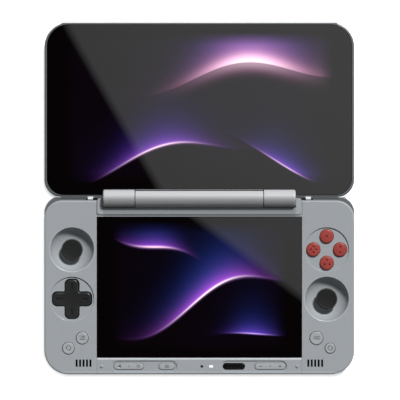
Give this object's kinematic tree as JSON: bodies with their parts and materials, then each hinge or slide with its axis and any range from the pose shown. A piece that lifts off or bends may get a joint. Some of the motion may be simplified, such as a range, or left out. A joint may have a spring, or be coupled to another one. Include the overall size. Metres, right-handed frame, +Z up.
{
  "type": "handheld game console",
  "caption": "Clamshell handheld game console lying open, with a screen in each half, thumbsticks, direction pad, round buttons, shoulder buttons and triggers.",
  "frame": {"origin": "on the table under the hinge axis, midway between the sides; the open console's bounding box is centred on it", "axes": "+X to the player's right, +Y from the player towards the lid, +Z up"},
  "size_m": [0.1798, 0.204, 0.0203],
  "materials": {
    "shell_grey": "fine sprayed texture",
    "key_grey": "satin",
    "slate_trim": "satin",
    "charcoal_rubber": "soft touch",
    "charcoal_plastic": "satin",
    "black_sensor": "polished",
    "red_plastic": "satin gloss",
    "lower_cover_glass": "polished",
    "upper_cover_glass": "polished",
    "lower_picture": "lit panel",
    "upper_picture": "lit panel",
    "circuit_board": "solder mask",
    "battery_foil": "wrapped foil pouch",
    "black_plastic": "moulded",
    "copper": "bare copper",
    "steel": "bare steel",
    "black_rubber": "moulded",
    "bumper_rubber": "moulded",
    "light_guide": "clear moulded",
    "flex_film": "polyimide film"
  },
  "bodies": {
    "base": {"base_top_shell": "shell_grey", "base_bottom_shell": "shell_grey", "front_bar": "shell_grey", "lower_screen_glass": "lower_cover_glass", "lower_display_panel": "lower_picture", "display_midframe": "steel", "mainboard": "circuit_board", "battery_pack": "battery_foil", "fan_housing": "black_plastic", "heat_sink": "copper", "stick_housings": "steel", "button_boards": "circuit_board", "button_membranes": "black_rubber", "speakers": "black_plastic", "lid_bumpers": "bumper_rubber", "rubber_feet": "black_rubber", "base_screws": "steel", "usb_c_port": "steel", "card_slot": "steel", "audio_jack": "charcoal_plastic", "status_light": "light_guide", "rear_vent_cover": "slate_trim", "hinge_centre_barrel": "shell_grey", "hinge_shafts": "steel", "display_flex_lower": "flex_film", "shoulder_pins": "steel"},
    "lid": {"lid_back_shell": "shell_grey", "lid_front_frame": "slate_trim", "upper_screen_glass": "upper_cover_glass", "upper_display_panel": "upper_picture", "hinge_knuckle_left": "shell_grey", "hinge_knuckle_right": "shell_grey", "hinge_brackets": "steel", "lid_screws": "steel", "display_flex_upper": "flex_film"},
    "fan_rotor": {"fan_rotor": "black_plastic"},
    "left_stick_yoke": {"left_stick_yoke": "steel"},
    "left_stick_shaft": {"left_stick_shaft": "steel"},
    "left_stick_cap": {"left_stick_cap": "charcoal_rubber"},
    "right_stick_yoke": {"right_stick_yoke": "steel"},
    "right_stick_shaft": {"right_stick_shaft": "steel"},
    "right_stick_cap": {"right_stick_cap": "charcoal_rubber"},
    "dpad_pivot": {"dpad_pivot": "steel"},
    "dpad": {"dpad": "charcoal_plastic"},
    "face_button_top": {"face_button_top": "red_plastic"},
    "face_button_right": {"face_button_right": "red_plastic"},
    "face_button_bottom": {"face_button_bottom": "red_plastic"},
    "face_button_left": {"face_button_left": "red_plastic"},
    "left_round_button_upper": {"left_round_button_upper": "key_grey"},
    "left_round_button_lower": {"left_round_button_lower": "key_grey"},
    "right_round_button_upper": {"right_round_button_upper": "key_grey"},
    "right_round_button_lower": {"right_round_button_lower": "key_grey"},
    "back_home_rocker": {"back_home_rocker": "key_grey"},
    "menu_button": {"menu_button": "key_grey"},
    "power_button": {"power_button": "black_sensor"},
    "volume_rocker": {"volume_rocker": "key_grey"},
    "left_shoulder_button": {"left_shoulder_button": "slate_trim"},
    "right_shoulder_button": {"right_shoulder_button": "slate_trim"},
    "left_trigger": {"left_trigger": "slate_trim"},
    "right_trigger": {"right_trigger": "slate_trim"}
  },
  "joints": [
    {"name": "lid_hinge", "type": "hinge", "parent": "base", "child": "lid", "pos_m": [0, 0, 0.0153], "axis": [1, 0, 0], "range_deg": [0, 180]},
    {"name": "fan_spin", "type": "hinge", "parent": "base", "child": "fan_rotor", "pos_m": [0.041, -0.031, 0.0059], "axis": [0, 0, 1], "continuous": true},
    {"name": "left_stick_tilt_forward", "type": "hinge", "parent": "base", "child": "left_stick_yoke", "pos_m": [-0.0738, -0.0297, 0.0051], "axis": [1, 0, 0], "range_deg": [-15, 15], "stiffness_Nm_per_rad": 0.02},
    {"name": "left_stick_tilt_sideways", "type": "hinge", "parent": "left_stick_yoke", "child": "left_stick_shaft", "pos_m": [-0.0738, -0.0297, 0.0051], "axis": [0, 1, 0], "range_deg": [-15, 15], "stiffness_Nm_per_rad": 0.02},
    {"name": "left_stick_press", "type": "slide", "parent": "left_stick_shaft", "child": "left_stick_cap", "axis": [0, 0, -1], "range_m": [0, 0.0005], "stiffness_N_per_m": 2500},
    {"name": "right_stick_tilt_forward", "type": "hinge", "parent": "base", "child": "right_stick_yoke", "pos_m": [0.0738, -0.0583, 0.0051], "axis": [1, 0, 0], "range_deg": [-15, 15], "stiffness_Nm_per_rad": 0.02},
    {"name": "right_stick_tilt_sideways", "type": "hinge", "parent": "right_stick_yoke", "child": "right_stick_shaft", "pos_m": [0.0738, -0.0583, 0.0051], "axis": [0, 1, 0], "range_deg": [-15, 15], "stiffness_Nm_per_rad": 0.02},
    {"name": "right_stick_press", "type": "slide", "parent": "right_stick_shaft", "child": "right_stick_cap", "axis": [0, 0, -1], "range_m": [0, 0.0005], "stiffness_N_per_m": 2500},
    {"name": "dpad_tilt_forward", "type": "hinge", "parent": "base", "child": "dpad_pivot", "pos_m": [-0.0738, -0.0583, 0.0106], "axis": [1, 0, 0], "range_deg": [-3.5, 3.5], "stiffness_Nm_per_rad": 0.15},
    {"name": "dpad_tilt_sideways", "type": "hinge", "parent": "dpad_pivot", "child": "dpad", "pos_m": [-0.0738, -0.0583, 0.0106], "axis": [0, 1, 0], "range_deg": [-3.5, 3.5], "stiffness_Nm_per_rad": 0.15},
    {"name": "face_button_top_press", "type": "slide", "parent": "base", "child": "face_button_top", "axis": [0, 0, -1], "range_m": [0, 0.0009], "stiffness_N_per_m": 900},
    {"name": "face_button_right_press", "type": "slide", "parent": "base", "child": "face_button_right", "axis": [0, 0, -1], "range_m": [0, 0.0009], "stiffness_N_per_m": 900},
    {"name": "face_button_bottom_press", "type": "slide", "parent": "base", "child": "face_button_bottom", "axis": [0, 0, -1], "range_m": [0, 0.0009], "stiffness_N_per_m": 900},
    {"name": "face_button_left_press", "type": "slide", "parent": "base", "child": "face_button_left", "axis": [0, 0, -1], "range_m": [0, 0.0009], "stiffness_N_per_m": 900},
    {"name": "left_round_button_upper_press", "type": "slide", "parent": "base", "child": "left_round_button_upper", "axis": [0, 0, -1], "range_m": [0, 0.0005], "stiffness_N_per_m": 1500},
    {"name": "left_round_button_lower_press", "type": "slide", "parent": "base", "child": "left_round_button_lower", "axis": [0, 0, -1], "range_m": [0, 0.0005], "stiffness_N_per_m": 1500},
    {"name": "right_round_button_upper_press", "type": "slide", "parent": "base", "child": "right_round_button_upper", "axis": [0, 0, -1], "range_m": [0, 0.0005], "stiffness_N_per_m": 1500},
    {"name": "right_round_button_lower_press", "type": "slide", "parent": "base", "child": "right_round_button_lower", "axis": [0, 0, -1], "range_m": [0, 0.0005], "stiffness_N_per_m": 1500},
    {"name": "menu_button_press", "type": "slide", "parent": "base", "child": "menu_button", "axis": [0, 0, -1], "range_m": [0, 0.0004], "stiffness_N_per_m": 2000},
    {"name": "power_button_press", "type": "slide", "parent": "base", "child": "power_button", "axis": [0, 0, -1], "range_m": [0, 0.0004], "stiffness_N_per_m": 2000},
    {"name": "back_home_rocker_tilt", "type": "hinge", "parent": "base", "child": "back_home_rocker", "pos_m": [-0.0409, -0.0974, 0.0135], "axis": [0, 1, 0], "range_deg": [-3, 3], "stiffness_Nm_per_rad": 0.12},
    {"name": "volume_rocker_tilt", "type": "hinge", "parent": "base", "child": "volume_rocker", "pos_m": [0.041, -0.0974, 0.0135], "axis": [0, 1, 0], "range_deg": [-3, 3], "stiffness_Nm_per_rad": 0.12},
    {"name": "left_shoulder_press", "type": "hinge", "parent": "base", "child": "left_shoulder_button", "pos_m": [-0.0862, -0.0112, 0.0103], "axis": [0, 0, -1], "range_deg": [0, 2.6], "stiffness_Nm_per_rad": 0.3},
    {"name": "right_shoulder_press", "type": "hinge", "parent": "base", "child": "right_shoulder_button", "pos_m": [0.0862, -0.0112, 0.0103], "axis": [0, 0, 1], "range_deg": [0, 2.6], "stiffness_Nm_per_rad": 0.3},
    {"name": "left_trigger_press", "type": "hinge", "parent": "base", "child": "left_trigger", "pos_m": [-0.074, -0.002, 0.0061], "axis": [-1, 0, 0], "range_deg": [0, 10], "stiffness_Nm_per_rad": 0.05},
    {"name": "right_trigger_press", "type": "hinge", "parent": "base", "child": "right_trigger", "pos_m": [0.074, -0.002, 0.0061], "axis": [-1, 0, 0], "range_deg": [0, 10], "stiffness_Nm_per_rad": 0.05}
  ]
}
